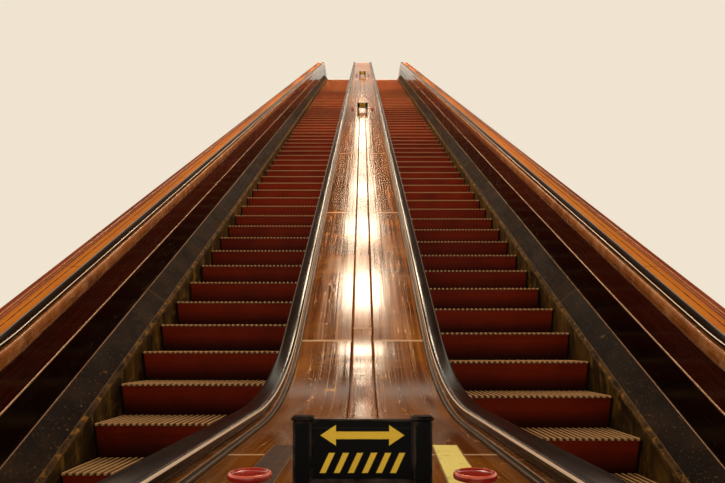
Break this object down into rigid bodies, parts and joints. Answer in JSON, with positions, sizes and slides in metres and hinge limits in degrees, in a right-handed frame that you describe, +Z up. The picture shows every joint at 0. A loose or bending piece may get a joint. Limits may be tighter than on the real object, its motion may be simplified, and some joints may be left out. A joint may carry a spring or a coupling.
{
  "type": "twin escalator",
  "caption": "Two side-by-side wooden-step escalator flights with a shared varnished centre deck, black handrails, stop buttons and a closed housing.",
  "frame": {"origin": "middle of the seat face of the lower bearing bracket", "axes": "+Y runs up the flights, +X to the right seen from the lower landing, +Z up"},
  "size_m": [3.932, 28.8028, 15.2648],
  "materials": {
    "casing_steel": "flat grey paint on plain panels",
    "cladding_steel": "flat warm grey paint",
    "track_steel": "oily dark steel",
    "step_wood": "red-brown stained boards, worn at the nosing",
    "floor_metal": "ribbed and scuffed",
    "comb_metal": "cast, polished on the teeth",
    "skirt_metal": "grimy yellow-brown",
    "skirt_deck_metal": "worn grey with rust spots",
    "black_enamel": "glossy black",
    "bead_metal": "thin bright bead",
    "mahogany": "dark varnished panel",
    "moulding_wood": "glossy varnish",
    "handrail_rubber": "black with a worn sheen",
    "deck_wood": "glossy varnish, scuffed along the grain",
    "orange_wood": "bright orange varnish",
    "trim_wood": "red-brown varnish",
    "newel_wood": "varnished curved staves",
    "sign_black": "satin black with yellow marks",
    "collar_black": "matt black",
    "button_red": "glossy red"
  },
  "bodies": {
    "machine": {"lower_machine_box": "casing_steel", "lower_housing": "casing_steel", "incline_housing": "casing_steel", "upper_housing": "casing_steel", "upper_machine_box": "casing_steel", "side_cladding": "cladding_steel", "step_tracks": "track_steel", "left_steps": "step_wood", "right_steps": "step_wood", "lower_floor_plate": "floor_metal", "upper_floor_plate": "floor_metal", "lower_comb_plates": "comb_metal", "upper_comb_plates": "comb_metal", "left_outer_handrail": "handrail_rubber", "left_inner_handrail": "handrail_rubber", "right_inner_handrail": "handrail_rubber", "right_outer_handrail": "handrail_rubber", "centre_deck": "deck_wood", "centre_deck_strip": "deck_wood", "outer_decks": "orange_wood", "wall_trims": "trim_wood", "lower_newels": "newel_wood", "upper_newels": "newel_wood", "stop_signs": "sign_black", "button_collars": "collar_black", "left_skirts": "skirt_metal", "left_skirt_decks": "skirt_deck_metal", "left_lower_panels": "black_enamel", "left_beads": "bead_metal", "left_upper_panels": "mahogany", "left_mouldings": "moulding_wood", "right_skirts": "skirt_metal", "right_skirt_decks": "skirt_deck_metal", "right_lower_panels": "black_enamel", "right_beads": "bead_metal", "right_upper_panels": "mahogany", "right_mouldings": "moulding_wood"},
    "stop_button_1_left": {"stop_button_1_left": "button_red"},
    "stop_button_1_right": {"stop_button_1_right": "button_red"},
    "stop_button_2_left": {"stop_button_2_left": "button_red"},
    "stop_button_2_right": {"stop_button_2_right": "button_red"},
    "stop_button_3_left": {"stop_button_3_left": "button_red"},
    "stop_button_3_right": {"stop_button_3_right": "button_red"},
    "stop_button_4_left": {"stop_button_4_left": "button_red"},
    "stop_button_4_right": {"stop_button_4_right": "button_red"}
  },
  "joints": [
    {"name": "press_1_left", "type": "slide", "parent": "machine", "child": "stop_button_1_left", "axis": [0, 0, -1], "range_m": [0, 0.005], "stiffness_N_per_m": 800, "springref_m": -0.01},
    {"name": "press_1_right", "type": "slide", "parent": "machine", "child": "stop_button_1_right", "axis": [0, 0, -1], "range_m": [0, 0.005], "stiffness_N_per_m": 800, "springref_m": -0.01},
    {"name": "press_2_left", "type": "slide", "parent": "machine", "child": "stop_button_2_left", "axis": [0, 0.5, -0.866], "range_m": [0, 0.005], "stiffness_N_per_m": 800, "springref_m": -0.01},
    {"name": "press_2_right", "type": "slide", "parent": "machine", "child": "stop_button_2_right", "axis": [0, 0.5, -0.866], "range_m": [0, 0.005], "stiffness_N_per_m": 800, "springref_m": -0.01},
    {"name": "press_3_left", "type": "slide", "parent": "machine", "child": "stop_button_3_left", "axis": [0, 0.5, -0.866], "range_m": [0, 0.005], "stiffness_N_per_m": 800, "springref_m": -0.01},
    {"name": "press_3_right", "type": "slide", "parent": "machine", "child": "stop_button_3_right", "axis": [0, 0.5, -0.866], "range_m": [0, 0.005], "stiffness_N_per_m": 800, "springref_m": -0.01},
    {"name": "press_4_left", "type": "slide", "parent": "machine", "child": "stop_button_4_left", "axis": [0, 0, -1], "range_m": [0, 0.005], "stiffness_N_per_m": 800, "springref_m": -0.01},
    {"name": "press_4_right", "type": "slide", "parent": "machine", "child": "stop_button_4_right", "axis": [0, 0, -1], "range_m": [0, 0.005], "stiffness_N_per_m": 800, "springref_m": -0.01}
  ]
}
